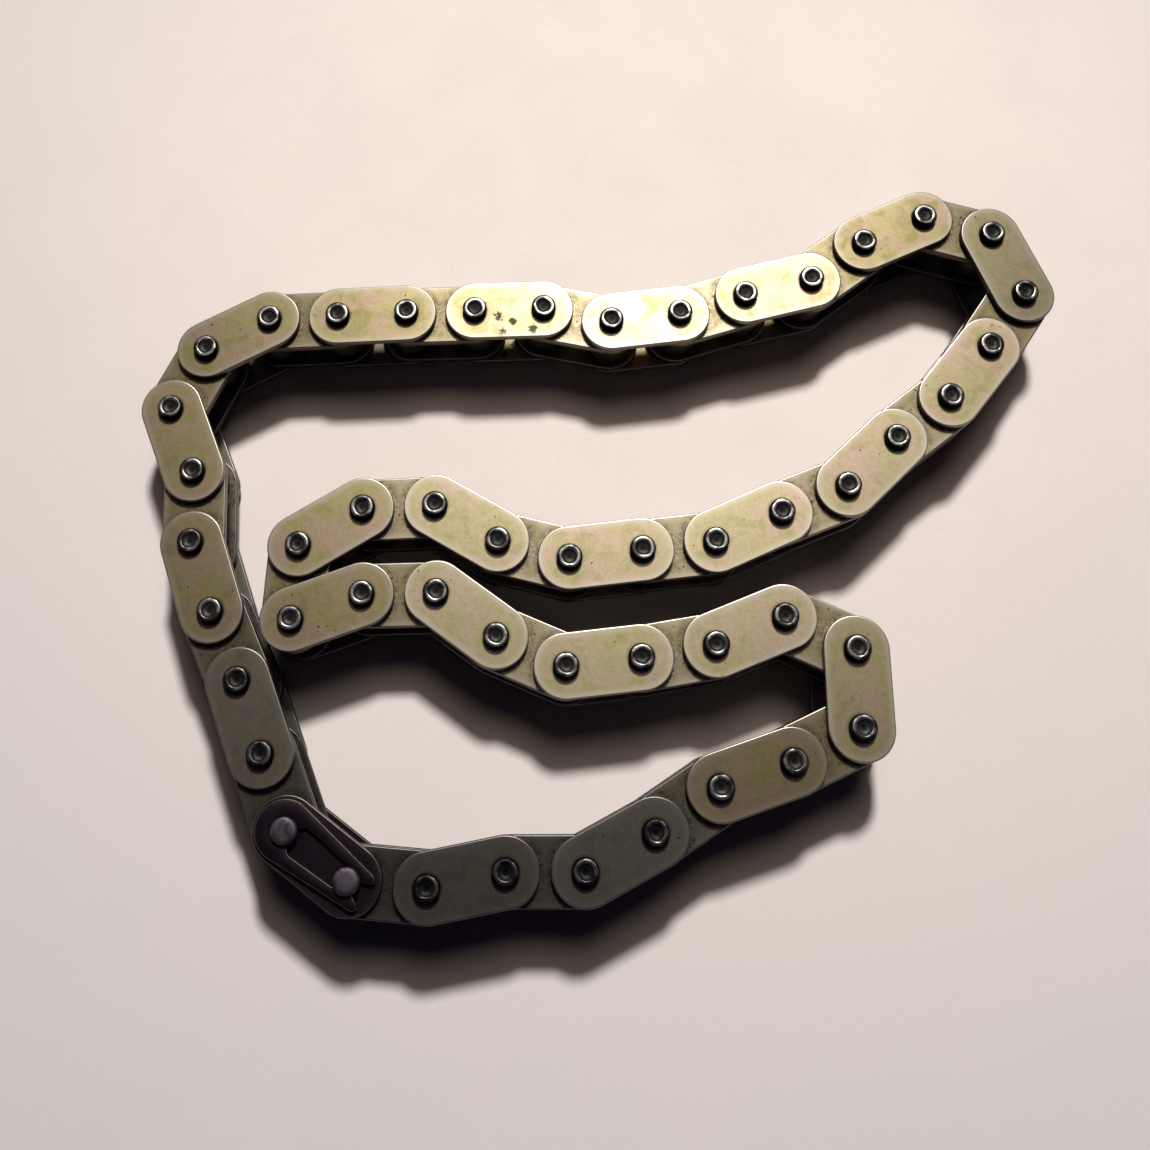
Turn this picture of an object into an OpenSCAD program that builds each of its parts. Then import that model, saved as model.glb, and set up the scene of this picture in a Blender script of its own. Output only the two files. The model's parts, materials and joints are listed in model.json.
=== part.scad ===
// Cam chain: an endless roller chain of fifty links, closed by one connecting link,
// lying on its side as a loose loop with the pins upright.
// Links are numbered round the loop. Link n runs from pin n to pin n + 1, the odd links
// are outer links and the even ones are inner links.

/* [Chain] */
// Distance from pin to pin
pitch = 9.525; // [9.2:0.005:12.7]
// Width between the inner plates
inner_w = 5.72; // [4:0.01:9]
// Outside diameter of a roller
roller_d = 6.35; // [5.8:0.01:7]

/* [Plates] */
// Height of every plate
plate_h = 8.26; // [7.4:0.01:8.6]
// Thickness of an outer plate
outer_t = 1.04; // [0.8:0.01:1.6]
// Thickness of an inner plate
inner_t = 1.3; // [0.8:0.01:1.8]

/* [Pins and bushes] */
// Diameter of a pin
pin_d = 3.28; // [2.8:0.01:3.6]
// Length of pin that stands proud of each outer plate
pin_proud = 1.2; // [0.8:0.01:2]
// Radius of the rounded rim of a pin's end
pin_rim_r = 0.25; // [0.1:0.01:0.45]
// Diameter of the riveting dimple in a pin's end
dimple_d = 2.0; // [1:0.01:2.3]
// Depth of the riveting dimple
dimple_depth = 0.45; // [0.2:0.01:0.7]
// Outside diameter of a bush
bush_d = 4.75; // [4.2:0.01:5]

/* [Connecting link] */
// Thickness of the spring clip
clip_t = 0.8; // [0.6:0.01:1.2]
// Half width of the clip at its closed end
clip_closed_r = 3.65; // [3.2:0.01:3.9]
// Half width of the clip at its open end
clip_open_r = 2.4; // [2.2:0.01:2.8]
// How far the clip's legs reach past the pin at its open end
clip_tail = 2.8; // [2.4:0.01:3.6]
// Half width of the slot between the legs, at its widest
clip_slot_r = 1.85; // [1.6:0.01:2.1]
// Half width of the slot where it comes to the pin at the open end
clip_slot_end_r = 1.5; // [1.35:0.01:1.6]
// Half width of the neck that holds the clip on its pin
clip_neck_r = 0.95; // [0.7:0.01:1.1]
// Diameter of a connecting pin in the clip's groove
groove_d = 2.6; // [2.2:0.01:2.7]
// Thickness of a connecting pin's head, above the clip
head_t = 0.85; // [0.5:0.01:1.2]

/* [Clearances] */
// Radial clearance of a pin in its bush
pin_play = 0.03; // [0.02:0.005:0.08]
// Radial clearance of a roller on its bush
roller_play = 0.05; // [0.02:0.005:0.1]
// Gap between an inner plate and the outer plate over it
side_play = 0.07; // [0.03:0.005:0.15]
// Gap between a roller's end and the inner plate
roller_end_play = 0.06; // [0.03:0.005:0.15]
// Gap at a seat that is pressed together on the real chain
seat_gap = 0.02; // [0.01:0.005:0.03]

/* [Lay of the loop] */
// Outer links that point opposite ways: first link, second link, heading of the first
outer_pairs = [[13, 47, 285], [29, 43, 319], [1, 39, 22], [11, 19, 18], [7, 21, 1]];
// Outer links in fives whose directions cancel: the five links, headings of the first three
outer_fives = [
    [[3, 31, 37, 15, 49], [357, 1, 193]],
    [[23, 27, 33, 35, 41], [145, 14, 16]],
    [[5, 9, 17, 25, 45], [356, 8, 217]]
];
// Headings of inner links 2 to 10, and then of inner links 16 to 50
inner_start = [357, 356, 343, 11, 30];
inner_rest = [211, 196, 181, 161, 177, 262, 356, 332, 4, 330, 199, 207, 175, 170, 107, 110, 88, 59];

/* [Hidden] */
$fn = 48;
// Links whose pieces are nodes of their own: an outer one, an inner one and the connecting link
separate = [41, 42, 43];
// How far a cut runs past the face that it opens
cut = 1;

// Heights, from the lower pin ends up
lower_outer_z = pin_proud;
lower_inner_z = lower_outer_z + outer_t + side_play;
roller_z = lower_inner_z + inner_t;
upper_inner_z = roller_z + inner_w;
upper_outer_z = upper_inner_z + inner_t + side_play;
outer_top_z = upper_outer_z + outer_t;
pin_len = outer_top_z + pin_proud;
bush_len = inner_w + 2 * inner_t;
clip_z = outer_top_z + seat_gap;
head_z = clip_z + clip_t + seat_gap;

// Radii of the fits
pin_r = pin_d / 2;
bush_bore_r = pin_r + pin_play;
bush_r = bush_d / 2;
roller_bore_r = bush_r + roller_play;
groove_r = groove_d / 2;
clip_eye_r = groove_r + pin_play;
// A ball of this radius leaves the dimple
dimple_ball_r = (pow(dimple_d / 2, 2) + pow(dimple_depth, 2)) / (2 * dimple_depth);

STEEL = [0.62, 0.61, 0.57];
TAN = [0.66, 0.62, 0.52];
OLIVE = [0.52, 0.5, 0.44];
BROWN = [0.36, 0.31, 0.31];

function unit(heading) = [cos(heading), sin(heading)];
function total(list) = [for (v = list) 1] * list;

// The two headings that cancel what the given headings add up to
function closing(headings) =
    let (s = -total([for (h = headings) unit(h)]), m = atan2(s.y, s.x), a = acos(norm(s) / 2))
    [m + a, m - a];

inner_headings = concat(inner_start, closing(concat(inner_start, inner_rest)), inner_rest);

function outer_heading(n) = concat(
    [for (p = outer_pairs) if (p[0] == n) p[2]],
    [for (p = outer_pairs) if (p[1] == n) p[2] + 180],
    [for (f = outer_fives) let (all_five = concat(f[1], closing(f[1])))
        for (i = [0:4]) if (f[0][i] == n) all_five[i]]
)[0];

link_count = 2 * len(inner_headings);
heading = [for (n = [1:link_count]) n % 2 == 1 ? outer_heading(n) : inner_headings[n / 2 - 1]];
// Pin places counted from pin 1, and the middle of their box
walk = [for (i = 0, p = [0, 0]; i < link_count; p = p + pitch * unit(heading[i]), i = i + 1) p];
middle = [for (k = [0, 1]) (min([for (p = walk) p[k]]) + max([for (p = walk) p[k]])) / 2];

function label(kind, n) = str(kind, "_link_", n < 10 ? "0" : "", n);
outer_numbers = [for (n = [1:2:link_count]) if (n != separate[0] && n != separate[2]) n];
inner_numbers = [for (n = [2:2:link_count]) if (n != separate[1]) n];

// Puts a link's own frame, with its first pin at the origin and its second along X, in the loop
module at_link(n) {
    translate(concat(walk[n - 1] - middle, [0]))
        rotate(heading[n - 1])
            children();
}

module at_both_pins() {
    children();
    translate([pitch, 0, 0])
        children();
}

// A straight-sided plate with round ends, on its lower face
module plate(t, hole_r) {
    linear_extrude(t)
        difference() {
            union() {
                circle(d = plate_h);
                translate([pitch, 0])
                    circle(d = plate_h);
                translate([0, -plate_h / 2])
                    square([pitch, plate_h]);
            }
            circle(hole_r);
            translate([pitch, 0])
                circle(hole_r);
        }
}

module outer_plate(z) {
    color(TAN)
        translate([0, 0, z])
            plate(outer_t, pin_r + seat_gap);
}

module inner_plate(z) {
    color(OLIVE)
        translate([0, 0, z])
            plate(inner_t, bush_r + seat_gap);
}

// Half section of a round bar that stands on z = 0, with rounded rims
module bar_section(r, len, lower_rim, upper_rim) {
    square([r - max(lower_rim, upper_rim), len]);
    translate([0, lower_rim])
        square([r, len - lower_rim - upper_rim]);
    translate([r - lower_rim, lower_rim])
        circle(lower_rim);
    translate([r - upper_rim, len - upper_rim])
        circle(upper_rim);
}

// A pin riveted at both ends
module rivet_pin() {
    color(STEEL)
        difference() {
            rotate_extrude()
                bar_section(pin_r, pin_len, pin_rim_r, pin_rim_r);
            for (z = [dimple_depth - dimple_ball_r, pin_len - dimple_depth + dimple_ball_r])
                translate([0, 0, z])
                    sphere(dimple_ball_r);
        }
}

module bush() {
    color(STEEL)
        translate([0, 0, lower_inner_z])
            difference() {
                cylinder(r = bush_r, h = bush_len);
                translate([0, 0, -cut])
                    cylinder(r = bush_bore_r, h = bush_len + 2 * cut);
            }
}

module roller() {
    len = inner_w - 2 * roller_end_play;
    color(STEEL)
        translate([0, 0, roller_z + roller_end_play])
            difference() {
                cylinder(d = roller_d, h = len);
                translate([0, 0, -cut])
                    cylinder(r = roller_bore_r, h = len + 2 * cut);
            }
}

module outer_link() {
    outer_plate(lower_outer_z);
    outer_plate(upper_outer_z);
    at_both_pins()
        rivet_pin();
}

module inner_link() {
    inner_plate(lower_inner_z);
    inner_plate(upper_inner_z);
    at_both_pins() {
        bush();
        roller();
    }
}

// A pin riveted below and grooved above, for the clip
module connecting_pin() {
    shank_len = outer_top_z;
    color(BROWN)
        difference() {
            union() {
                rotate_extrude()
                    bar_section(pin_r, shank_len, pin_rim_r, 0);
                cylinder(r = groove_r, h = head_z + head_t / 2);
                translate([0, 0, head_z])
                    rotate_extrude()
                        bar_section(pin_r, head_t, 0, pin_rim_r);
            }
            translate([0, 0, dimple_depth - dimple_ball_r])
                sphere(dimple_ball_r);
        }
}

module cover_plate() {
    color(BROWN)
        translate([0, 0, upper_outer_z])
            plate(outer_t, bush_bore_r);
}

module back_plate() {
    color(BROWN)
        translate([0, 0, lower_outer_z])
            plate(outer_t, pin_r + seat_gap);
}

// The clip's outline, with its closed end round the origin and its open end along X
module clip_outline() {
    tip_x = pitch + clip_tail;
    linear_extrude(clip_t)
        polygon([[0, clip_closed_r], [tip_x, clip_open_r], [tip_x, -clip_open_r], [0, -clip_closed_r]]);
    cylinder(r = clip_closed_r, h = clip_t);
}

// The slot between the clip's legs: an eye, a wide middle, an eye, a neck and a flared mouth
module clip_slot() {
    wide_x = clip_slot_r;
    neck_x = pitch + clip_eye_r;
    mouth_x = pitch + clip_tail + cut;
    half = [
        [0, clip_neck_r], [wide_x, clip_slot_r], [pitch - clip_eye_r, clip_slot_end_r], [pitch, clip_neck_r],
        [neck_x, clip_neck_r], [mouth_x, clip_slot_r]
    ];
    translate([0, 0, -cut]) {
        cylinder(r = clip_eye_r, h = clip_t + 2 * cut);
        translate([pitch, 0, 0])
            cylinder(r = clip_eye_r, h = clip_t + 2 * cut);
        linear_extrude(clip_t + 2 * cut)
            polygon(concat(half, [for (i = [len(half) - 1:-1:0]) [half[i].x, -half[i].y]]));
    }
}

module clip() {
    color(BROWN)
        translate([pitch, 0, clip_z])
            rotate(180)
                difference() {
                    clip_outline();
                    clip_slot();
                }
}

for (n = outer_numbers)
    at_link(n) outer_link();
for (n = inner_numbers)
    at_link(n) inner_link();

at_link(separate[0]) outer_plate(upper_outer_z);  // outer_plate_upper
at_link(separate[0]) outer_plate(lower_outer_z);  // outer_plate_lower
at_link(separate[0]) at_both_pins() rivet_pin();  // rivet_pins

at_link(separate[1]) inner_plate(upper_inner_z);  // inner_plate_upper
at_link(separate[1]) inner_plate(lower_inner_z);  // inner_plate_lower
at_link(separate[1]) bush();  // bush_a
at_link(separate[1]) translate([pitch, 0, 0]) bush();  // bush_b
at_link(separate[1]) roller();  // roller_a
at_link(separate[1]) translate([pitch, 0, 0]) roller();  // roller_b

at_link(separate[2]) back_plate();  // connecting_back_plate
at_link(separate[2]) at_both_pins() connecting_pin();  // connecting_pins
at_link(separate[2]) cover_plate();  // connecting_cover_plate
at_link(separate[2]) clip();  // spring_clip
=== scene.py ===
import json
import math
import random

import bmesh
import bpy
from mathutils import Matrix, Vector


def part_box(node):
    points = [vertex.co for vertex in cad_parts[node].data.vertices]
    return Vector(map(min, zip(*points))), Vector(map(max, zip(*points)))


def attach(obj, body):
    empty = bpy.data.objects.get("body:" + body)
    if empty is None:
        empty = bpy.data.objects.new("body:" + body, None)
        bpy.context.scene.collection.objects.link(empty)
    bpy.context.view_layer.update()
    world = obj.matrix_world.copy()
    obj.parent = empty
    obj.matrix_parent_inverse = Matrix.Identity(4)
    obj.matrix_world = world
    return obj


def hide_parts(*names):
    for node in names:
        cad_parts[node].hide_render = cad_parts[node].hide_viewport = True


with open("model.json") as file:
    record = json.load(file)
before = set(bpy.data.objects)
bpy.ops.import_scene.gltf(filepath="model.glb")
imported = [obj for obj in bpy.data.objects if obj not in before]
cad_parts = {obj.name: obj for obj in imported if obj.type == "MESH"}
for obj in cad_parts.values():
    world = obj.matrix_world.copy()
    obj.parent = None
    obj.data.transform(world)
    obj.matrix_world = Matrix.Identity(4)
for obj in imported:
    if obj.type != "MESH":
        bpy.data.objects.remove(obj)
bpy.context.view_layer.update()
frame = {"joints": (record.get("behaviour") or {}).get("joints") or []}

# Lengths are in metres, and MM turns millimetres into metres. A name that ends in _MM holds millimetres.
MM = 0.001

# The photograph's frame and the camera, as fitted to the pin ends
PICTURE_PX = 1150
FOCAL_PX = 1293.0
CENTRE_PX = (498.1, 329.5)
CAMERA_FOOT = (-14.7 * MM, -34.15 * MM)
CAMERA_HEIGHT = 178.4 * MM
CAMERA_TILT = math.radians(20.92)
CAMERA_ROLL = math.radians(-4.59)
CAMERA_YAW = math.radians(0.91)
CAMERA_NEAREST = 10 * MM
SENSOR_MM = 36.0

# The lamp that casts the shadows towards the camera
KEY_PLACE = (0.19, 0.885, 1.27)
LAMP_AIM = (0.0, 0.0, 0.0)
KEY_SIZE = 0.17
KEY_POWER = 25.2
KEY_COLOUR = (1.0, 0.985, 0.95)
# A broad dim lamp above it, which softens the far half of each shadow
SOFT_PLACE = (0.173, 0.666, 1.332)
SOFT_SIZE = 0.64
SOFT_POWER = 3.3
SOFT_COLOUR = (1.0, 0.87, 0.72)
# The faint light that the room sends into the shadows
FILL_COLOUR = (0.44, 0.26, 1.0)
FILL_LEVEL = 0.006
# What metal mirrors and the camera sees: a dim ceiling and pale walls low down
CEILING_LEVEL = 0.06
WALL_LEVEL = 0.75
WALL_COLOUR = (1.0, 0.93, 0.88)
# The wall behind the camera is darker, as a share of the others
NEAR_WALL = 0.25
# Where the walls end and the near wall begins, as parts of a direction of length one
WALL_TOP = (0.3, 0.6)
WALL_TURN = (-0.6, 0.1)

# The floor
FLOOR_HALF = 0.9
# A painted pool of light: the floor is painted lighter about this middle, fading out between these distances
# in mm
LIGHT_POOL_MIDDLE = (12 * MM, 55 * MM, 0.0)
LIGHT_POOL_FADE_MM = (20.0, 170.0)

# Rounded edges, finer than the solids have them
PLATE_EDGE = 0.17 * MM
HOLE_EDGE = 0.05 * MM
ROLLER_EDGE = 0.25 * MM
BUSH_EDGE = 0.12 * MM
CLIP_EDGE = 0.16 * MM
# The narrow flat beside a rounded edge, which keeps the shading of the face flat
SUPPORT = 0.03 * MM

# How finely the round shapes are divided
EDGE_STEPS = 4
CLIP_EDGE_STEPS = 3
ARC_STEPS = 28
STRAIGHT_STEPS = 6
MIDDLE_STEPS = 8
PIN_SEGMENTS = 40
ROLLER_SEGMENTS = 48

# Edges that turn more than this are drawn sharp
SHARP_ANGLE = math.radians(40)
CLIP_SHARP_ANGLE = math.radians(28)
# Points nearer than this are one, and heights nearer than this are the same
MERGE_DISTANCE = 1e-4 * MM
LEVEL_TOLERANCE = 1e-7

# Link n runs from pin n to pin n + 1. The odd links are outer links.
LINKS = 50
CONNECTING = 43
# The outer and the inner link whose parts are nodes of their own
SPLIT_OUTER = 41
SPLIT_INNER = 42


# The chain's places and sizes, read from the frame

def joint_place(name):
    joint = next(j for j in frame["joints"] if j["name"] == name)
    return Vector(joint["pos_m"][:2])


# The loop is open at the connecting link's first pin, which has no hinge. The second roller of the
# link before it turns about the same axis.
PIN_JOINTS = {n: f"pin_{n:02d}" for n in range(1, LINKS + 1)}
PIN_JOINTS[CONNECTING] = "roller_b_spin"
PINS = {n: joint_place(joint) for n, joint in PIN_JOINTS.items()}
PITCH = (PINS[2] - PINS[1]).length


def levels(node):
    low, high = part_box(node)
    return low[2], high[2]


def width(node):
    low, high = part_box(node)
    return high[0] - low[0]


PIN_LOW, PIN_TOP = levels("rivet_pins")
MID_LEVEL = (PIN_LOW + PIN_TOP) / 2
OUTER_LOWER = levels("outer_plate_lower")
OUTER_UPPER = levels("outer_plate_upper")
INNER_LOWER = levels("inner_plate_lower")
INNER_UPPER = levels("inner_plate_upper")
CLIP_LEVELS = levels("spring_clip")
HEAD_TOP = levels("connecting_pins")[1]
ROLLER_LEVELS = levels("roller_a")
BUSH_LEVELS = levels("bush_a")
ROLLER_R = width("roller_a") / 2
BUSH_R = width("bush_a") / 2
SPLIT_SPAN = abs(PINS[SPLIT_OUTER + 1].x - PINS[SPLIT_OUTER].x)
PIN_R = (width("rivet_pins") - SPLIT_SPAN) / 2
PLATE_R = (width("outer_plate_upper") - SPLIT_SPAN) / 2
BUSH_BORE = 3.34 / 2 * MM
ROLLER_BORE = 4.85 / 2 * MM
# The two pins of a link, in its own frame
ENDS = ((0, 0), (PITCH, 0))


def link_matrix(link):
    start, stop = PINS[link], PINS[link % LINKS + 1]
    turn = math.atan2(stop.y - start.y, stop.x - start.x)
    return Matrix.Translation((start.x, start.y, 0)) @ Matrix.Rotation(turn, 4, "Z")


# Mesh building in a link's own frame: first pin at the origin, second along X

# Painted shade: the lower half of each link, under the upper plates, is painted darker
LOWER_SHADE = 0.6


class Shape:
    """Collects points and faces.

    Each point carries how far it is on an edge, and its place in the link's or pin's own frame.
    """

    def __init__(self):
        self.points, self.edge, self.local, self.faces, self.slots = [], [], [], [], []

    def point(self, place, edge=0.0, origin=(0, 0)):
        self.points.append(Vector(place))
        self.edge.append(edge)
        self.local.append(((place[0] - origin[0]) / MM, (place[1] - origin[1]) / MM))
        return len(self.points) - 1

    def face(self, ids, slot):
        ids = [i for k, i in enumerate(ids) if i != ids[k - 1]]
        if len(ids) > 2:
            self.faces.append(ids)
            self.slots.append(slot)

    def skin(self, rings, slot):
        """Closes the bands between rings of the same number of points."""
        for ring, next_ring in zip(rings, rings[1:]):
            for k in range(len(ring)):
                j = (k + 1) % len(ring)
                self.face([ring[k], ring[j], next_ring[j], next_ring[k]], slot)

    def lathe(self, centre, profile, slot, segments, wobble=None):
        """profile: (radius, height, edge), from the first ring to the last; radius 0 closes an end."""
        rings = []
        for r, z, edge in profile:
            if r == 0:
                rings.append([self.point((centre[0], centre[1], z), edge, centre)] * segments)
                continue
            ring = []
            for k in range(segments):
                a = 2 * math.pi * k / segments
                grown = r * (wobble(a, r, z) if wobble else 1.0)
                place = (centre[0] + grown * math.cos(a), centre[1] + grown * math.sin(a), z)
                ring.append(self.point(place, edge, centre))
            rings.append(ring)
        self.skin(rings, slot)

    def build(self, name, matrix, materials, tone, marked):
        mesh = bpy.data.meshes.new(name)
        bm = bmesh.new()
        edge_layer = bm.verts.layers.float.new("edge")
        tone_layer = bm.verts.layers.float.new("tone")
        mark_layer = bm.verts.layers.float.new("marked")
        uv_layer = bm.loops.layers.uv.new("local")
        verts = []
        for place, edge in zip(self.points, self.edge):
            vert = bm.verts.new(matrix @ place)
            vert[edge_layer] = edge
            # Painted shade: points in the lower half of the link are darker
            vert[tone_layer] = tone if place[2] > MID_LEVEL else tone * LOWER_SHADE
            vert[mark_layer] = marked
            verts.append(vert)
        for ids, slot in zip(self.faces, self.slots):
            face = bm.faces.new([verts[i] for i in ids])
            face.material_index = slot
            face.smooth = True
            for loop, i in zip(face.loops, ids):
                loop[uv_layer].uv = self.local[i]
        bmesh.ops.remove_doubles(bm, verts=bm.verts, dist=MERGE_DISTANCE)
        loose = [vert for vert in bm.verts if not vert.link_faces]
        bmesh.ops.delete(bm, geom=loose, context="VERTS")
        bmesh.ops.recalc_face_normals(bm, faces=bm.faces)
        sharpen(bm, SHARP_ANGLE)
        bm.to_mesh(mesh)
        bm.free()
        return add_piece(name, mesh, materials)


def sharpen(bm, angle):
    for edge in bm.edges:
        if len(edge.link_faces) == 2 and edge.calc_face_angle() > angle:
            edge.smooth = False


def add_piece(name, mesh, materials):
    piece = bpy.data.objects.new(name, mesh)
    bpy.context.scene.collection.objects.link(piece)
    for material in materials:
        mesh.materials.append(material)
    return piece


def rounded(low, high, wall, inward, edge):
    """Profile up a wall that is rounded at both ends. inward is -1 on an outside and 1 in a hole."""
    rows = []
    for k in range(EDGE_STEPS + 1):
        a = math.pi / 2 * k / EDGE_STEPS
        rows.append((wall + inward * edge * (1 - math.sin(a)), low + edge * (1 - math.cos(a)), 1.0))
    for r, z, on_edge in reversed(list(rows)):
        rows.append((r, low + high - z, on_edge))
    flat = wall + inward * (edge + SUPPORT)
    return [(flat, low, 0.0)] + rows + [(flat, high, 0.0)]


def half_circle(x, r, start):
    """Points on half a circle about (x, 0), anticlockwise from the angle start."""
    angles = [start + math.pi * k / ARC_STEPS for k in range(ARC_STEPS + 1)]
    return [(x + r * math.cos(a), r * math.sin(a)) for a in angles]


def obround(inset):
    """Points round a plate's outline, drawn in by inset: left end, bottom edge, right end, top edge."""
    r = PLATE_R - inset
    steps = 2 * STRAIGHT_STEPS
    bottom = [(PITCH * k / steps, -r) for k in range(1, steps)]
    top = [(PITCH * (1 - k / steps), r) for k in range(1, steps)]
    return half_circle(0, r, math.pi / 2) + bottom + half_circle(PITCH, r, -math.pi / 2) + top


def half_outline(r):
    """Points round the left half of a plate's flat face: its end, bottom edge, middle line and top edge."""
    steps = 2 * STRAIGHT_STEPS
    bottom = [(PITCH * k / steps, -r) for k in range(1, STRAIGHT_STEPS + 1)]
    middle = [(PITCH / 2, -r + 2 * r * k / MIDDLE_STEPS) for k in range(1, MIDDLE_STEPS)]
    top = [(PITCH * k / steps, r) for k in range(STRAIGHT_STEPS, 0, -1)]
    return half_circle(0, r, math.pi / 2) + bottom + middle + top


def plate(shape, low, high, hole_r, slot):
    rings = []
    for inset, z, edge in rounded(low, high, 0, 1, PLATE_EDGE):
        rings.append([shape.point((x, y, z), edge) for x, y in obround(inset)])
    shape.skin(rings, slot)
    plate_faces(shape, low, high, hole_r, slot)


# How much of an edge's wear a hole shows
HOLE_WEAR = 0.4


def plate_faces(shape, low, high, hole_r, slot):
    """A plate's two flat faces and its holes, the left half and then its mirror image."""
    half = half_outline(PLATE_R - (PLATE_EDGE + SUPPORT))
    angles = [math.atan2(y, x) for x, y in half]
    for start, way in ((0, 1), (PITCH, -1)):
        rings = []
        for r, z, edge in rounded(low, high, hole_r, 1, HOLE_EDGE):
            ring = []
            for a in angles:
                x, y = r * math.cos(a), r * math.sin(a)
                ring.append(shape.point((start + way * x, y, z), edge * HOLE_WEAR))
            rings.append(ring)
        shape.skin(rings, slot)
        for z, ring in ((low, rings[0]), (high, rings[-1])):
            outer = [shape.point((start + way * x, y, z)) for x, y in half]
            shape.skin([ring, outer], slot)


# A rivet's end: radius and depth below the end, from the middle of the dimple out to the shank
RIVET_END_MM = (
    (0, 0.46), (0.35, 0.44), (0.62, 0.37), (0.8, 0.27), (0.91, 0.14), (0.97, 0.05), (1.03, 0.01),
    (1.12, 0.0), (1.26, 0.0), (1.38, 0.01), (1.47, 0.04), (1.55, 0.09), (1.61, 0.17), (1.64, 0.27),
)
# A hammered end is uneven by this share of its radius. The swell fades to nothing at SWELL_END.
SWELL = 0.06
SWELL_WAVES = (2, 3, 4, 5)
SWELL_END = 1.6 * MM
SWELL_FADE = 0.6 * MM


def irregular(rng, amount):
    """A slow uneven swell round the axis."""
    waves = []
    for n in SWELL_WAVES:
        phase = rng.uniform(0, 2 * math.pi)
        waves.append((n, phase, rng.uniform(0.3, 1.0) * amount / n ** 0.5))
    return lambda a: 1 + sum(height * math.cos(n * a + phase) for n, phase, height in waves)


def rivet_end(level, way):
    """Profile of a riveted end at a level; way is 1 at the lower end and -1 at the upper one."""
    return [(r * MM, level + way * depth * MM, 0.0) for r, depth in RIVET_END_MM]


def rivet_pin(shape, centre, slot, rng):
    swell_low, swell_high = irregular(rng, SWELL), irregular(rng, SWELL)

    def wobble(a, r, z):
        share = max(0.0, min(1.0, (SWELL_END - r) / SWELL_FADE))
        swell = swell_high if z > MID_LEVEL else swell_low
        return 1 + (swell(a) - 1) * share

    shank = [(PIN_R, OUTER_LOWER[0], 0.0), (PIN_R, OUTER_UPPER[1], 0.0)]
    profile = rivet_end(PIN_LOW, 1) + shank + list(reversed(rivet_end(PIN_TOP, -1)))
    shape.lathe(centre, profile, slot, PIN_SEGMENTS, wobble)


def ring_piece(shape, centre, low, high, bore, outside, edge, slot, segments):
    wall_out = rounded(low, high, outside, -1, edge)
    wall_in = rounded(low, high, bore, 1, HOLE_EDGE)
    shape.lathe(centre, wall_out + list(reversed(wall_in)) + [wall_out[0]], slot, segments)


def bush(shape, centre, slot):
    ring_piece(shape, centre, *BUSH_LEVELS, BUSH_BORE, BUSH_R, BUSH_EDGE, slot, PIN_SEGMENTS)


def roller(shape, centre, slot):
    ring_piece(shape, centre, *ROLLER_LEVELS, ROLLER_BORE, ROLLER_R, ROLLER_EDGE, slot, ROLLER_SEGMENTS)


# The connecting pins, riveted below and grooved for the clip above

# A head: radius and depth below its top, from the axis to the shank
HEAD_PROFILE_MM = ((0, 0.0), (0.9, 0.0), (1.3, 0.02), (1.48, 0.08), (1.58, 0.18), (1.63, 0.32), (1.64, 0.45))
GROOVE_R = 1.3 * MM
GROOVE_PLAY = (0.01 * MM, 0.02 * MM)
GROOVE_BEVEL = 0.06 * MM


def connecting_pin(shape, centre, slot):
    """Riveted below, and grooved for the clip under its head."""
    head = [(r * MM, HEAD_TOP - depth * MM, 0.0) for r, depth in HEAD_PROFILE_MM]
    low, high = CLIP_LEVELS[0] - GROOVE_PLAY[0], CLIP_LEVELS[1] + GROOVE_PLAY[1]
    groove = [
        (PIN_R, low - GROOVE_BEVEL, 0.0), (PIN_R - GROOVE_BEVEL, low, 1.0), (GROOVE_R, low, 0.0),
        (GROOVE_R, high, 0.0), (PIN_R - GROOVE_BEVEL, high, 1.0), (PIN_R, high + GROOVE_BEVEL, 0.0),
    ]
    shape.lathe(centre, rivet_end(PIN_LOW, 1) + groove + list(reversed(head)), slot, PIN_SEGMENTS)


# The spring clip, one closed outline with the slot open at its mouth

CLIP_CLOSED_R = 3.65 * MM
CLIP_OPEN_R = 2.4 * MM
CLIP_TAIL = 2.8 * MM
CLIP_TIP = PITCH + CLIP_TAIL
CLIP_EYE_R = 1.33 * MM
CLIP_SLOT_R = 1.85 * MM
CLIP_NECK_R = 0.95 * MM
CLIP_TIP_ROUND = 0.7 * MM
# Where the arcs end, in degrees: the closed end at its shoulder, a tip, and the eye in the open end
CLIP_SHOULDER, CLIP_TIP_START, CLIP_EYE_STOP = 92, 84, 118
# Corners of the mouth, and of the slot between the two eyes
CLIP_MOUTH = [
    (CLIP_TIP, 1.55 * MM), (CLIP_TIP - 0.5 * MM, 1.25 * MM), (PITCH + CLIP_EYE_R + 0.35 * MM, CLIP_NECK_R),
]
CLIP_SLOT = [
    (PITCH - 1.15 * MM, 1.5 * MM), (CLIP_SLOT_R + 0.4 * MM, CLIP_SLOT_R), (CLIP_SLOT_R - 0.1 * MM, 1.7 * MM),
    (1.35 * MM, 1.2 * MM),
]


def arc(centre, r, start, stop, steps):
    """Points on an arc about centre, angles in degrees."""
    points = []
    for k in range(steps + 1):
        a = math.radians(start + (stop - start) * k / steps)
        points.append((centre[0] + r * math.cos(a), centre[1] + r * math.sin(a)))
    return points


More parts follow.
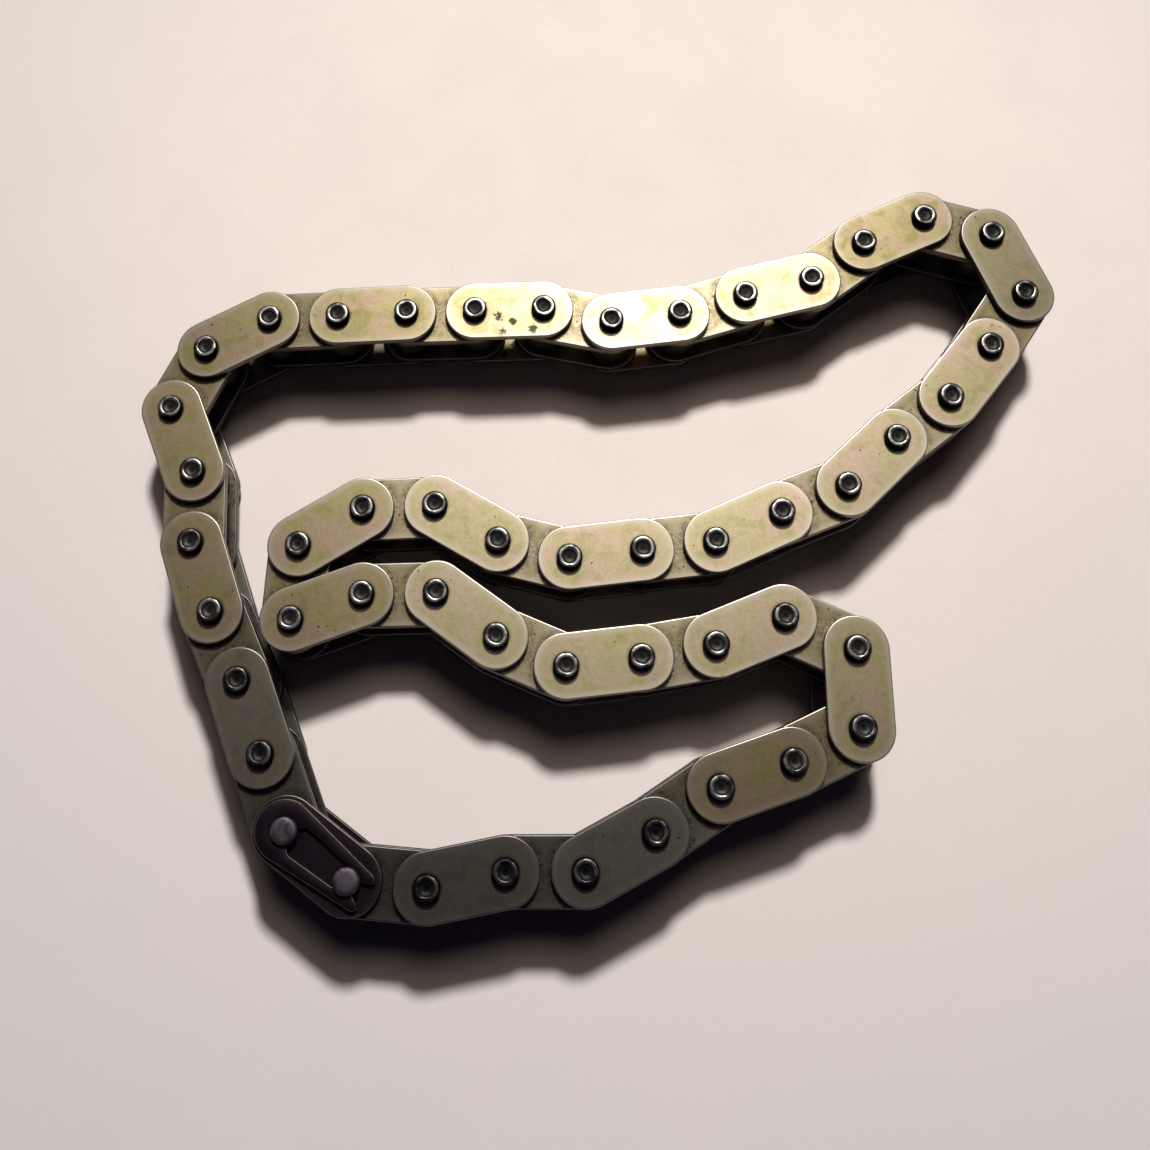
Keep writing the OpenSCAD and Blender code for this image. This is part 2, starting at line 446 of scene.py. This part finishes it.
def clip_outline():
    """The outline in the clip's own frame: closed end at the origin, open end along X."""
    tip_centre = (CLIP_TIP - CLIP_TIP_ROUND, CLIP_OPEN_R - CLIP_TIP_ROUND)
    neck = math.degrees(math.asin(CLIP_NECK_R / CLIP_EYE_R))
    side = arc((0, 0), CLIP_CLOSED_R, 180, CLIP_SHOULDER, 20)
    side += arc(tip_centre, CLIP_TIP_ROUND, CLIP_TIP_START, 0, 6)
    side += CLIP_MOUTH
    side += arc((PITCH, 0), CLIP_EYE_R, neck, CLIP_EYE_STOP, 8)
    side += CLIP_SLOT
    side += arc((0, 0), CLIP_EYE_R, neck, 180, 12)
    return side + [(x, -y) for x, y in reversed(side[1:-1])]


def clip_piece(name, matrix, material, tone):
    low, high = CLIP_LEVELS
    bm = bmesh.new()
    face = bm.faces.new([bm.verts.new((x, y, low)) for x, y in clip_outline()])
    grown = bmesh.ops.extrude_face_region(bm, geom=[face])
    top = [part for part in grown["geom"] if isinstance(part, bmesh.types.BMVert)]
    bmesh.ops.translate(bm, verts=top, vec=(0, 0, high - low))
    bmesh.ops.recalc_face_normals(bm, faces=bm.faces)
    rims = [edge for edge in bm.edges if abs(edge.verts[0].co.z - edge.verts[1].co.z) < LEVEL_TOLERANCE]
    bmesh.ops.bevel(bm, geom=rims, offset=CLIP_EDGE, segments=CLIP_EDGE_STEPS, profile=0.5, affect="EDGES",
                    clamp_overlap=True)
    edge_layer = bm.verts.layers.float.new("edge")
    tone_layer = bm.verts.layers.float.new("tone")
    uv_layer = bm.loops.layers.uv.new("local")
    for vert in bm.verts:
        flat = min(abs(vert.co.z - low), abs(vert.co.z - high)) < LEVEL_TOLERANCE
        vert[edge_layer] = 0.0 if flat else 1.0
        vert[tone_layer] = tone
    for face in bm.faces:
        face.smooth = True
        for loop in face.loops:
            loop[uv_layer].uv = (loop.vert.co.x / MM, loop.vert.co.y / MM)
    sharpen(bm, CLIP_SHARP_ANGLE)
    bmesh.ops.triangulate(bm, faces=[face for face in bm.faces if len(face.verts) > 4])
    # The clip lies with its closed end at the link's second pin
    bm.transform(matrix @ Matrix.Translation((PITCH, 0, 0)) @ Matrix.Rotation(math.pi, 4, "Z"))
    mesh = bpy.data.meshes.new(name)
    bm.to_mesh(mesh)
    bm.free()
    return add_piece(name, mesh, [material])


# Materials

class Nodes:
    """A short way to write a node tree."""

    def __init__(self, tree):
        self.tree = tree

    def feed(self, target, value):
        """Links a socket to the target, or sets a plain value on it."""
        if isinstance(value, bpy.types.NodeSocket):
            self.tree.links.new(value, target)
        else:
            target.default_value = value

    def add(self, kind, **inputs):
        """A node of this kind, its inputs given by name or, as i0 and i1, by number.

        A word that starts with set_ is a setting of the node.
        """
        node = self.tree.nodes.new(kind)
        for word, value in inputs.items():
            if word.startswith("set_"):
                setattr(node, word[4:], value)
        for word, value in inputs.items():
            if word[0] == "i" and word[1:].isdigit():
                self.feed(node.inputs[int(word[1:])], value)
            elif not word.startswith("set_"):
                self.feed(node.inputs[word.replace("_", " ")], value)
        return node

    def math(self, operation, a, b=0.0):
        return self.add("ShaderNodeMath", set_operation=operation, i0=a, i1=b).outputs[0]

    def plus(self, a, b):
        return self.math("ADD", a, b)

    def minus(self, a, b):
        return self.math("SUBTRACT", a, b)

    def times(self, a, b):
        return self.math("MULTIPLY", a, b)

    def vector(self, operation, **inputs):
        return self.add("ShaderNodeVectorMath", set_operation=operation, **inputs).outputs[0]

    def distance(self, place, point=(0, 0, 0)):
        return self.add("ShaderNodeVectorMath", set_operation="DISTANCE", i0=place, i1=point).outputs["Value"]

    def mix(self, share, below, above):
        node = self.tree.nodes.new("ShaderNodeMix")
        node.data_type = "RGBA"
        for number, value in ((0, share), (6, below), (7, above)):
            self.feed(node.inputs[number], value)
        return node.outputs[2]

    def ramp(self, value, low, high):
        """0 below low, 1 above high, smooth between."""
        return self.add("ShaderNodeMapRange", set_interpolation_type="SMOOTHSTEP", set_clamp=True,
                        Value=value, From_Min=low, From_Max=high).outputs[0]

    def fade(self, value, low, high):
        """1 below low, 0 above high, smooth between."""
        return self.minus(1.0, self.ramp(value, low, high))

    def noise(self, coords, scale, detail=3.0, roughness=0.55, distortion=0.0):
        return self.add("ShaderNodeTexNoise", Vector=coords, Scale=scale, Detail=detail,
                        Roughness=roughness, Distortion=distortion).outputs[0]

    def shaken(self, place, coords, scale, amount):
        """place, moved about by a noise of coords."""
        colour = self.add("ShaderNodeTexNoise", Vector=coords, Scale=scale, Detail=3.0).outputs["Color"]
        centred = self.vector("SUBTRACT", i0=colour, i1=(0.5, 0.5, 0.5))
        return self.vector("ADD", i0=place, i1=self.vector("SCALE", i0=centred, Scale=amount))

    def millimetres(self):
        coords = self.add("ShaderNodeTexCoord").outputs["Object"]
        return self.vector("SCALE", i0=coords, Scale=1 / MM)

    def local_place(self):
        """The place in the link's or the pin's own frame, in millimetres."""
        return self.add("ShaderNodeUVMap", set_uv_map="local").outputs[0]

    def attribute(self, name):
        return self.add("ShaderNodeAttribute", set_attribute_name=name).outputs["Fac"]

    def bump(self, height, strength, distance):
        return self.add("ShaderNodeBump", Strength=strength, Distance=distance, Height=height).outputs[0]


def srgb(r, g, b):
    """A colour given as it is seen on the screen, 0 to 255."""
    def linear(c):
        c = c / 255
        return c / 12.92 if c <= 0.04045 else ((c + 0.055) / 1.055) ** 2.4
    return (linear(r), linear(g), linear(b), 1.0)


def new_material(name):
    material = bpy.data.materials.new(name)
    material.use_nodes = True
    tree = material.node_tree
    tree.nodes.clear()
    nodes = Nodes(tree)
    out = nodes.add("ShaderNodeOutputMaterial")
    shader = nodes.add("ShaderNodeBsdfPrincipled")
    tree.links.new(shader.outputs[0], out.inputs[0])
    return material, nodes, shader


# Scuff marks on one outer link: place from its first pin, and size. The core of a mark is full.
MARKS_MM = ((3.3, -1.0, 0.75), (5.25, -1.75, 0.7), (3.8, -3.3, 0.6), (8.0, -3.0, 0.85))
MARKED_LINK = 5
MARK_CORE = 0.55
MARK_SHARE = 0.9
SOOT = srgb(16, 13, 10)
# Where dirt and wear lie on a plate: distances from a pin's axis, and from the plate's middle line
PIN_RING_MM = (1.8, 2.35)
GRIME_MM = (5.1, 6.1)
RIM_MM = (3.0, 4.1)
# How much of each layer covers the one below
OLIVE_SHARE = 0.75
MOTTLE_SHARE = 0.2
PIN_RING_SHARE = 0.6


def tarnish(nodes, mm, fine, stain, tan, rose, olive, dark):
    """Cloudy colour: tan and rose in large patches, olive stains and a fine dark mottle."""
    cloud = nodes.noise(mm, scale=0.16, roughness=0.6, distortion=0.6)
    colour = nodes.mix(nodes.ramp(cloud, 0.38, 0.62), tan, rose)
    colour = nodes.mix(nodes.times(nodes.ramp(stain, 0.45, 0.7), OLIVE_SHARE), colour, olive)
    return nodes.mix(nodes.times(nodes.ramp(fine, 0.35, 0.75), MOTTLE_SHARE), colour, dark)


def specks(nodes, mm, grain, amount):
    """Ragged dark specks, which come in groups."""
    cells = nodes.add("ShaderNodeTexVoronoi", Vector=mm, Scale=0.9, Randomness=1.0).outputs["Distance"]
    ragged = nodes.plus(cells, nodes.times(nodes.minus(grain, 0.5), 0.35))
    where = nodes.ramp(nodes.noise(mm, scale=0.3, detail=2.0), 0.56 - amount, 0.66 - amount)
    return nodes.times(nodes.fade(ragged, 0.06, 0.17), where)


def marks(nodes, mm, local):
    """The scuff marks, on the link that carries them."""
    place = nodes.shaken(local, mm, scale=2.4, amount=1.5)
    found = 0.0
    for x, y, size in MARKS_MM:
        away = nodes.distance(place, (x, y, 0))
        found = nodes.math("MAXIMUM", nodes.fade(away, size * MARK_CORE, size), found)
    return nodes.times(nodes.times(found, nodes.attribute("marked")), MARK_SHARE)


def from_pin(nodes, local):
    """Distance to the nearer pin's axis."""
    return nodes.math("MINIMUM", nodes.distance(local), nodes.distance(local, (PITCH / MM, 0, 0)))


def from_middle_line(nodes, local):
    """Distance to the line between the two pins."""
    place = nodes.add("ShaderNodeSeparateXYZ", Vector=local)
    x, y = place.outputs["X"], place.outputs["Y"]
    between = nodes.math("MAXIMUM", nodes.math("MINIMUM", x, PITCH / MM), 0.0)
    across = nodes.add("ShaderNodeCombineXYZ", X=nodes.minus(x, between), Y=y).outputs[0]
    return nodes.distance(across)


def plate_steel(name, tan, rose, olive, dark, edge_colour, wear_and_sheen_share, speck_amount, grime=0.0, rim_share=0.3):
    """Tarnished plate steel: cloudy colour, dark specks, worn edges with a painted highlight where they face
    up, grease round the pins, painted shade on the side walls and the link's painted shade.
    """
    material, nodes, shader = new_material(name)
    mm, local = nodes.millimetres(), nodes.local_place()
    edge, tone = nodes.attribute("edge"), nodes.attribute("tone")
    stain = nodes.noise(mm, scale=0.32, roughness=0.5, distortion=1.0)
    fine = nodes.noise(mm, scale=2.6, detail=4.0, roughness=0.65)
    grain = nodes.noise(mm, scale=14.0, detail=2.0, roughness=0.6)
    near = from_pin(nodes, local)

    # Colour and dirt
    colour = tarnish(nodes, mm, fine, stain, tan, rose, olive, dark)
    colour = nodes.mix(specks(nodes, mm, grain, speck_amount), colour, SOOT)
    colour = nodes.mix(marks(nodes, mm, local), colour, SOOT)
    rim = nodes.plus(from_middle_line(nodes, local), nodes.times(nodes.minus(fine, 0.5), 1.2))
    colour = nodes.mix(nodes.times(nodes.ramp(rim, *RIM_MM), rim_share), colour, edge_colour)
    ring = nodes.fade(nodes.plus(near, nodes.times(fine, 0.5)), *PIN_RING_MM)
    colour = nodes.mix(nodes.times(ring, PIN_RING_SHARE), colour, dark)
    if grime:
        beside = nodes.fade(nodes.plus(near, nodes.times(fine, 1.4)), *GRIME_MM)
        crumbs = nodes.ramp(nodes.plus(nodes.times(grain, 0.6), nodes.times(fine, 0.4)), 0.47, 0.58)
        colour = nodes.mix(nodes.times(beside, nodes.times(crumbs, grime)), colour, SOOT)

    # Worn edges with a painted highlight where the steel faces up, and painted shade on the walls where it
    # faces sideways
    normal = nodes.add("ShaderNodeNewGeometry").outputs["Normal"]
    facing = nodes.add("ShaderNodeSeparateXYZ", Vector=normal).outputs["Z"]
    wear_and_sheen = nodes.times(edge, nodes.plus(0.55, nodes.times(nodes.ramp(fine, 0.3, 0.6), 0.45)))
    wear_and_sheen = nodes.times(wear_and_sheen, nodes.ramp(facing, 0.05, 0.45))
    colour = nodes.mix(nodes.times(wear_and_sheen, wear_and_sheen_share), colour, edge_colour)
    # Painted shade: walls that face sideways are painted dark, less so at their rounded edges
    side = nodes.fade(nodes.math("ABSOLUTE", facing), 0.2, 0.6)
    side = nodes.times(side, nodes.minus(0.85, nodes.times(edge, 0.6)))
    colour = nodes.mix(side, colour, dark)

    # The tone carries painted shade: links painted darker are greyer, and the brightest are greyer too, so
    # that the lamp's highlight on them looks whiter
    saturation = nodes.plus(0.55, nodes.times(nodes.ramp(tone, 0.26, 0.48), 0.55))
    saturation = nodes.minus(saturation, nodes.times(nodes.ramp(tone, 0.6, 0.85), 0.14))
    toned = nodes.add("ShaderNodeHueSaturation", Color=colour, Value=tone, Saturation=saturation)
    nodes.feed(shader.inputs["Base Color"], toned.outputs[0])
    rough = nodes.minus(nodes.plus(0.32, nodes.times(stain, 0.2)), nodes.times(wear_and_sheen, 0.05))
    nodes.feed(shader.inputs["Roughness"], rough)
    shader.inputs["Metallic"].default_value = 1.0
    bumps = nodes.plus(nodes.times(grain, 0.35), nodes.times(fine, 0.65))
    nodes.feed(shader.inputs["Normal"], nodes.bump(bumps, strength=0.08, distance=0.02 * MM))
    return material


def turned_steel(name, bright, dull, roughness):
    """Ground and turned steel with faint rings, for bushes, rollers and the connecting pins."""
    material, nodes, shader = new_material(name)
    mm = nodes.millimetres()
    stretched = nodes.vector("MULTIPLY", i0=mm, i1=(0.35, 0.35, 5.0))
    rings = nodes.noise(stretched, scale=1.4, roughness=0.6)
    stain = nodes.noise(mm, scale=0.5, roughness=0.6, distortion=0.8)
    colour = nodes.mix(nodes.ramp(stain, 0.4, 0.68), bright, dull)
    colour = nodes.mix(nodes.times(nodes.ramp(rings, 0.4, 0.7), 0.3), colour, dull)
    colour = nodes.mix(nodes.times(nodes.attribute("edge"), 0.35), colour, bright)
    nodes.feed(shader.inputs["Base Color"], colour)
    nodes.feed(shader.inputs["Roughness"], nodes.plus(roughness, nodes.times(stain, 0.15)))
    shader.inputs["Metallic"].default_value = 1.0
    nodes.feed(shader.inputs["Normal"], nodes.bump(rings, strength=0.12, distance=0.02 * MM))
    return material


# The bright ring on a rivet, radii inside which it comes up and outside which it goes
RING_INSIDE_MM = (0.87, 1.03)
RING_OUTSIDE_MM = (1.31, 1.51)


def rivet_steel(name, ring_colour, shank, hollow, wall):
    """A pin: dark oxide on its shank and at the bottom of its dimple, and a bright hammered ring between."""
    material, nodes, shader = new_material(name)
    mm = nodes.millimetres()
    away = nodes.distance(nodes.local_place())
    jitter = nodes.noise(mm, scale=1.1, roughness=0.6)
    fine = nodes.noise(mm, scale=6.0, roughness=0.6)
    patchy = nodes.noise(mm, scale=0.55, detail=2.0, roughness=0.5)
    uneven = nodes.plus(away, nodes.times(nodes.minus(jitter, 0.5), 0.35))
    ring = nodes.times(nodes.ramp(uneven, *RING_INSIDE_MM), nodes.fade(uneven, *RING_OUTSIDE_MM))
    dimple = nodes.mix(nodes.ramp(away, 0.25, 0.6), hollow, wall)
    base = nodes.mix(nodes.ramp(away, 0.9, 1.05), dimple, shank)
    patches = nodes.times(nodes.ramp(patchy, 0.44, 0.58), 0.85)
    dulled = nodes.math("MAXIMUM", nodes.ramp(fine, 0.4, 0.85), patches)
    colour = nodes.mix(ring, base, nodes.mix(dulled, ring_colour, shank))
    # Painted shade: darker on the links that are painted darker
    value = nodes.plus(0.35, nodes.times(nodes.ramp(nodes.attribute("tone"), 0.15, 0.6), 0.65))
    toned = nodes.add("ShaderNodeHueSaturation", Color=colour, Value=value)
    nodes.feed(shader.inputs["Base Color"], toned.outputs[0])
    nodes.feed(shader.inputs["Roughness"], nodes.minus(0.55, nodes.times(ring, 0.25)))
    shader.inputs["Metallic"].default_value = 1.0
    nodes.feed(shader.inputs["Normal"], nodes.bump(jitter, strength=0.3, distance=0.03 * MM))
    return material


OUTER = plate_steel(
    "outer_plate_steel", tan=srgb(159, 149, 114), rose=srgb(167, 148, 128), olive=srgb(138, 134, 88),
    dark=srgb(52, 42, 30), edge_colour=srgb(200, 197, 188), wear_and_sheen_share=0.6, speck_amount=0.0,
)
INNER = plate_steel(
    "inner_plate_steel", tan=srgb(142, 131, 104), rose=srgb(144, 130, 107), olive=srgb(118, 110, 78),
    dark=srgb(36, 28, 22), edge_colour=srgb(184, 179, 168), wear_and_sheen_share=0.5, speck_amount=0.1, grime=0.85,
)
DARK = plate_steel(
    "connecting_link_steel", tan=srgb(50, 41, 48), rose=srgb(44, 36, 45), olive=srgb(40, 35, 37),
    dark=srgb(16, 12, 15), edge_colour=srgb(158, 144, 132), wear_and_sheen_share=0.35, speck_amount=-0.1, rim_share=0.06,
)
PIN = rivet_steel(
    "rivet_steel", ring_colour=srgb(166, 166, 162), shank=srgb(24, 21, 20), hollow=srgb(30, 27, 25),
    wall=srgb(66, 64, 60),
)
HEAD = turned_steel("connecting_pin_steel", bright=srgb(86, 79, 85), dull=srgb(46, 40, 47), roughness=0.45)
# Painted shade: the rollers, which sit between the plates, are painted darker
ROLLER = turned_steel("roller_steel", bright=srgb(96, 92, 84), dull=srgb(46, 41, 35), roughness=0.34)
BUSH = turned_steel("bush_steel", bright=srgb(110, 104, 94), dull=srgb(58, 52, 44), roughness=0.38)


# The pieces, one for each node

# Painted shade: the chain is painted darker at its bends, most of all beside the connecting link. Each
# stretch has its middle link, the links that it reaches to each side, and how much shade it paints.
SHADED_STRETCHES = (
    (1.9, 3.0, 0.48), (12.2, 2.8, 0.53), (17.0, 1.6, 0.12), (26.3, 2.4, 0.32), (41.8, 6.2, 0.72),
)
BRIGHTEST, DARKEST = 0.95, 0.18
BRIGHTNESS_SPREAD = 0.06
CONNECTING_TONE = 0.7
TURNED_TONE = 0.5
FIRST_SEED, SPLIT_SEED = 100, 7


def shaded_tone(link, rng):
    # The painted shade of each stretch, taken off the brightest tone, and a random spread of tone
    dull = 0.0
    for middle, reach, depth in SHADED_STRETCHES:
        away = min((link - middle) % LINKS, (middle - link) % LINKS)
        dull += depth * math.exp(-(away / reach) ** 3)
    return max(DARKEST, BRIGHTEST - dull + BRIGHTNESS_SPREAD * (rng.random() - 0.5))


def dress(piece, node, body):
    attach(piece, body)
    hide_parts(node)


def make(node, link, build, materials, tone, body=None):
    """Builds a piece of a link in a node's place. It rides on the link's body unless one is named."""
    shape = Shape()
    build(shape)
    marked = 1.0 if link == MARKED_LINK else 0.0
    piece = shape.build(f"{node}_steel", link_matrix(link), materials, tone, marked)
    dress(piece, node, body or f"link_{link:02d}")


def make_plate(node, link, plate_levels, hole_r, material, tone):
    make(node, link, lambda shape: plate(shape, *plate_levels, hole_r, 0), [material], tone)


def rivet_pins(shape, slot, rng):
    for centre in ENDS:
        rivet_pin(shape, centre, slot, rng)


def connecting_pins(shape):
    for centre in ENDS:
        connecting_pin(shape, centre, 0)


def outer_link(link):
    rng = random.Random(FIRST_SEED + link)
    tone = shaded_tone(link, rng)

    def build(shape):
        plate(shape, *OUTER_UPPER, PIN_R, 0)
        plate(shape, *OUTER_LOWER, PIN_R, 0)
        rivet_pins(shape, 1, rng)

    make(f"outer_link_{link:02d}", link, build, [OUTER, PIN], tone)


def inner_link(link):
    tone = shaded_tone(link, random.Random(FIRST_SEED + link))

    def build(shape):
        plate(shape, *INNER_UPPER, BUSH_R, 0)
        plate(shape, *INNER_LOWER, BUSH_R, 0)
        for centre in ENDS:
            bush(shape, centre, 1)
            roller(shape, centre, 2)

    make(f"inner_link_{link:02d}", link, build, [INNER, BUSH, ROLLER], tone)


def split_links():
    """The outer and the inner link whose parts are nodes of their own."""
    rng = random.Random(SPLIT_SEED)
    tone = shaded_tone(SPLIT_OUTER, rng)
    make_plate("outer_plate_upper", SPLIT_OUTER, OUTER_UPPER, PIN_R, OUTER, tone)
    make_plate("outer_plate_lower", SPLIT_OUTER, OUTER_LOWER, PIN_R, OUTER, tone)
    make("rivet_pins", SPLIT_OUTER, lambda shape: rivet_pins(shape, 0, rng), [PIN], tone)
    make_plate("inner_plate_upper", SPLIT_INNER, INNER_UPPER, BUSH_R, INNER, tone)
    make_plate("inner_plate_lower", SPLIT_INNER, INNER_LOWER, BUSH_R, INNER, tone)
    for letter, centre in zip("ab", ENDS):
        make(f"bush_{letter}", SPLIT_INNER, lambda shape: bush(shape, centre, 0), [BUSH],
             TURNED_TONE)
        make(f"roller_{letter}", SPLIT_INNER, lambda shape: roller(shape, centre, 0), [ROLLER],
             TURNED_TONE, body=f"roller_{letter}")


def connecting_link():
    tone = CONNECTING_TONE
    make_plate("connecting_back_plate", CONNECTING, OUTER_LOWER, PIN_R, DARK, tone)
    make_plate("connecting_cover_plate", CONNECTING, OUTER_UPPER, PIN_R, DARK, tone)
    make("connecting_pins", CONNECTING, connecting_pins, [HEAD], tone)
    clip = clip_piece("spring_clip_steel", link_matrix(CONNECTING), DARK, tone)
    dress(clip, "spring_clip", "link_43")


for link in range(1, LINKS + 1):
    if link in (CONNECTING, SPLIT_OUTER, SPLIT_INNER):
        continue
    if link % 2:
        outer_link(link)
    else:
        inner_link(link)
split_links()
connecting_link()


# The floor

def floor_material():
    """Pale card with a painted pool of light, lighter in the middle, with faint clouds and fibres."""
    material, nodes, shader = new_material("pale_card")
    mm = nodes.millimetres()
    cloud = nodes.noise(mm, scale=0.05, detail=4.0, roughness=0.6, distortion=0.5)
    fibre = nodes.noise(mm, scale=1.5, roughness=0.7)
    # Painted pool of light: lighter near the middle, cooler and darker further out
    away = nodes.distance(mm, tuple(c / MM for c in LIGHT_POOL_MIDDLE))
    colour = nodes.mix(nodes.ramp(away, *LIGHT_POOL_FADE_MM), srgb(246, 232, 226), srgb(210, 205, 205))
    colour = nodes.mix(nodes.times(nodes.ramp(cloud, 0.35, 0.65), 0.25), colour, srgb(224, 213, 210))
    colour = nodes.mix(nodes.times(nodes.ramp(fibre, 0.4, 0.8), 0.15), colour, srgb(206, 192, 186))
    nodes.feed(shader.inputs["Base Color"], colour)
    shader.inputs["Roughness"].default_value = 0.9
    shader.inputs["Specular IOR Level"].default_value = 0.2
    nodes.feed(shader.inputs["Normal"], nodes.bump(fibre, strength=0.15, distance=0.03 * MM))
    return material


floor_mesh = bpy.data.meshes.new("floor")
floor_corners = [(x * FLOOR_HALF, y * FLOOR_HALF, 0) for x, y in ((-1, -1), (1, -1), (1, 1), (-1, 1))]
floor_mesh.from_pydata(floor_corners, [], [(0, 1, 2, 3)])
floor = add_piece("floor", floor_mesh, [floor_material()])


# Light

def area_lamp(name, place, size, power, colour):
    lamp = bpy.data.lights.new(name, "AREA")
    lamp.shape = "DISK"
    lamp.size = size
    lamp.energy = power
    lamp.color = colour
    holder = bpy.data.objects.new(name, lamp)
    holder.location = place
    holder.rotation_euler = (Vector(LAMP_AIM) - Vector(place)).to_track_quat("-Z", "Y").to_euler()
    bpy.context.scene.collection.objects.link(holder)


area_lamp("key", KEY_PLACE, KEY_SIZE, KEY_POWER, KEY_COLOUR)
area_lamp("soft", SOFT_PLACE, SOFT_SIZE, SOFT_POWER, SOFT_COLOUR)


def build_world(world):
    """Pale walls under a dim ceiling for what is seen or mirrored, and a faint fill for all other rays."""
    world.use_nodes = True
    world.node_tree.nodes.clear()
    nodes = Nodes(world.node_tree)
    path = nodes.add("ShaderNodeLightPath")
    seen = nodes.math("MAXIMUM", path.outputs["Is Camera Ray"], path.outputs["Is Glossy Ray"])
    seen = nodes.math("MAXIMUM", seen, path.outputs["Is Transmission Ray"])
    coords = nodes.add("ShaderNodeTexCoord").outputs["Generated"]
    direction = nodes.add("ShaderNodeSeparateXYZ", Vector=coords)
    wall = nodes.times(seen, nodes.fade(direction.outputs["Z"], *WALL_TOP))
    lit = nodes.plus(NEAR_WALL, nodes.times(nodes.ramp(direction.outputs["Y"], *WALL_TURN), 1 - NEAR_WALL))
    level = nodes.plus(FILL_LEVEL, nodes.times(seen, CEILING_LEVEL - FILL_LEVEL))
    level = nodes.plus(level, nodes.times(nodes.times(wall, lit), WALL_LEVEL - CEILING_LEVEL))
    colour = nodes.mix(wall, (*FILL_COLOUR, 1.0), (*WALL_COLOUR, 1.0))
    background = nodes.add("ShaderNodeBackground", Color=colour, Strength=level)
    nodes.add("ShaderNodeOutputWorld", i0=background.outputs[0])


world = bpy.data.worlds.new("room")
bpy.context.scene.world = world
build_world(world)


# Camera

def camera_matrix():
    """Tilted about X from straight down, rolled about its own axis and turned about Z."""
    right = Vector((1, 0, 0))
    up = Vector((0, math.cos(CAMERA_TILT), math.sin(CAMERA_TILT)))
    forward = Vector((0, math.sin(CAMERA_TILT), -math.cos(CAMERA_TILT)))
    rolled_right = math.cos(CAMERA_ROLL) * right + math.sin(CAMERA_ROLL) * up
    rolled_up = -math.sin(CAMERA_ROLL) * right + math.cos(CAMERA_ROLL) * up
    axes = Matrix((rolled_right, rolled_up, -forward)).transposed().to_4x4()
    turned = Matrix.Translation((*CAMERA_FOOT, CAMERA_HEIGHT)) @ Matrix.Rotation(-CAMERA_YAW, 4, "Z")
    return turned @ axes


camera_data = bpy.data.cameras.new("camera")
camera_data.sensor_width = SENSOR_MM
camera_data.sensor_fit = "HORIZONTAL"
camera_data.lens = FOCAL_PX / PICTURE_PX * SENSOR_MM
camera_data.shift_x = (PICTURE_PX / 2 - CENTRE_PX[0]) / PICTURE_PX
camera_data.shift_y = (CENTRE_PX[1] - PICTURE_PX / 2) / PICTURE_PX
camera_data.clip_start = CAMERA_NEAREST
camera = bpy.data.objects.new("camera", camera_data)
bpy.context.scene.collection.objects.link(camera)
camera.matrix_world = camera_matrix()
bpy.context.scene.camera = camera
bpy.context.scene.view_settings.view_transform = "Standard"
